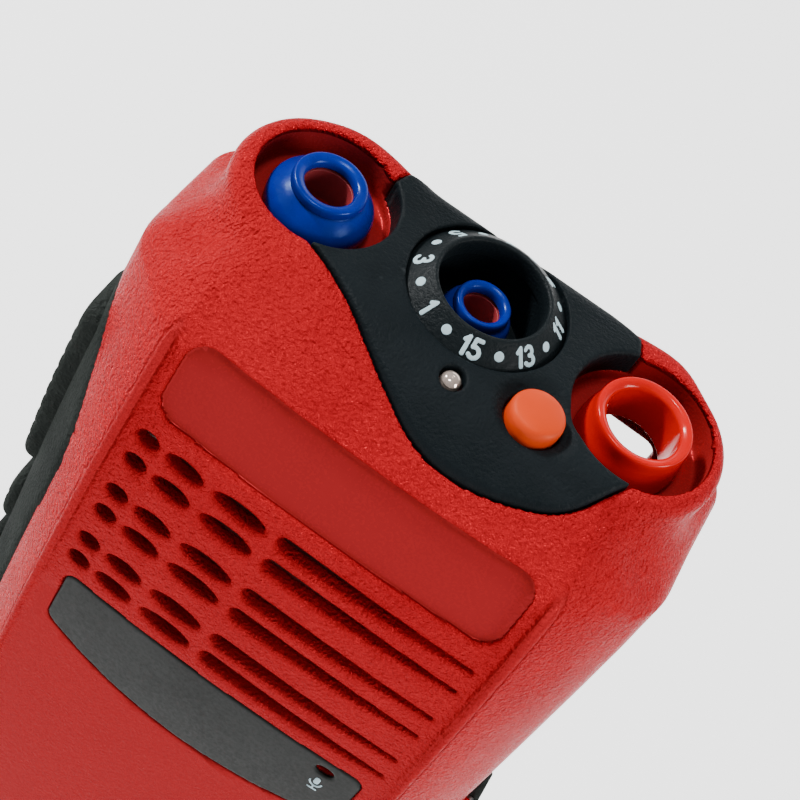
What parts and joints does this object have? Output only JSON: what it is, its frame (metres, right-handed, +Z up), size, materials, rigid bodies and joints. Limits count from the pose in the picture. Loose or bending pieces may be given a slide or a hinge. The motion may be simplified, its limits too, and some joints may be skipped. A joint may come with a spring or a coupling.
{
  "type": "portable two-way radio body",
  "caption": "Red handheld two-way radio body with its antenna and knobs off: dial ring, shaft seals, side keys, speaker slots and clip-on battery.",
  "frame": {"origin": "middle of the base, on the surface that the radio stands on", "axes": "+Z up towards the dial, -Y out of the speaker face, +X to the right seen from the speaker face"},
  "size_m": [0.0602, 0.0375, 0.1365],
  "materials": {
    "housing_red": "leather-grained moulded plastic",
    "collar_red": "glossy moulded plastic",
    "trim_black": "fine-textured moulded plastic",
    "seal_blue": "smooth silicone rubber",
    "button_orange": "smooth silicone rubber",
    "lens_clear": "clear polished light pipe",
    "band_black": "matte printed inlay",
    "rubber_black": "coarse-textured rubber",
    "flex_amber": "polyimide film",
    "board_green": "solder mask",
    "switch_metal": "stamped metal",
    "led_white": "moulded package",
    "steel_plated": "zinc plated",
    "cone_black": "pressed paper cone",
    "magnet_grey": "plated magnet cup",
    "felt_black": "woven dust cloth",
    "seal_black": "smooth rubber",
    "cast_alloy": "as-cast",
    "tin_can": "tin-plated sheet",
    "connector_ivory": "moulded connector",
    "connector_black": "moulded connector",
    "contact_gold": "gold flash",
    "battery_black": "fine-textured moulded plastic",
    "cell_wrap": "shrink wrap",
    "plate_grey": "plain unprinted plate",
    "latch_black": "moulded, ribbed tabs"
  },
  "bodies": {
    "housing": {"front_housing": "housing_red", "top_escutcheon": "trim_black", "channel_number_ring": "trim_black", "volume_shaft_seal": "seal_blue", "channel_shaft_seal": "seal_blue", "antenna_collar": "collar_red", "channel_shaft_bushing": "housing_red", "status_light_lens": "lens_clear", "front_band_label": "band_black", "side_key_bezel": "rubber_black", "side_switch_flex": "flex_amber", "top_control_board": "board_green", "emergency_switch": "switch_metal", "status_led": "led_white", "speaker_frame": "steel_plated", "speaker_cone": "cone_black", "speaker_magnet": "magnet_grey", "speaker_felt": "felt_black", "speaker_retainer": "steel_plated", "microphone": "steel_plated", "microphone_boot": "seal_black", "chassis_frame": "cast_alloy", "chassis_screws": "steel_plated", "main_seal": "seal_black", "main_board": "board_green", "shield_cans": "tin_can", "board_connector": "connector_ivory", "battery_contact_block": "connector_black", "battery_contact_springs": "contact_gold", "accessory_contact_block": "connector_black", "accessory_contacts": "contact_gold", "dust_cover_hinge_pin": "steel_plated"},
    "emergency_button": {"emergency_button": "button_orange"},
    "ptt_key": {"ptt_button": "rubber_black"},
    "upper_key": {"side_key_upper": "rubber_black"},
    "lower_key": {"side_key_lower": "rubber_black"},
    "dust_cover": {"accessory_dust_cover": "rubber_black"},
    "battery": {"battery_case": "battery_black", "battery_lid": "battery_black", "battery_cells": "cell_wrap", "battery_pads": "contact_gold", "battery_label_plate": "plate_grey", "latch_springs": "steel_plated"},
    "latch": {"battery_latch": "latch_black"}
  },
  "joints": [
    {"name": "emergency_press", "type": "slide", "parent": "housing", "child": "emergency_button", "axis": [0, 0, -1], "range_m": [0, 0.001], "stiffness_N_per_m": 300, "springref_m": -0.001},
    {"name": "ptt_press", "type": "slide", "parent": "housing", "child": "ptt_key", "axis": [1, 0, 0], "range_m": [0, 0.0008], "stiffness_N_per_m": 900, "springref_m": -0.0008},
    {"name": "upper_key_press", "type": "slide", "parent": "housing", "child": "upper_key", "axis": [1, 0, 0], "range_m": [0, 0.0006], "stiffness_N_per_m": 600, "springref_m": -0.0006},
    {"name": "lower_key_press", "type": "slide", "parent": "housing", "child": "lower_key", "axis": [1, 0, 0], "range_m": [0, 0.0006], "stiffness_N_per_m": 600, "springref_m": -0.0006},
    {"name": "dust_cover_swing", "type": "hinge", "parent": "housing", "child": "dust_cover", "pos_m": [0.0292, 0.001, 0.0792], "axis": [0, -1, 0], "range_deg": [0, 110]},
    {"name": "battery_tilt", "type": "hinge", "parent": "housing", "child": "battery", "pos_m": [0, 0.0063, 0.001], "axis": [-1, 0, 0], "range_deg": [0, 15]},
    {"name": "latch_slide", "type": "slide", "parent": "battery", "child": "latch", "axis": [0, 0, -1], "range_m": [0, 0.003], "stiffness_N_per_m": 250, "springref_m": -0.001, "deforming": ["latch_springs"]}
  ]
}
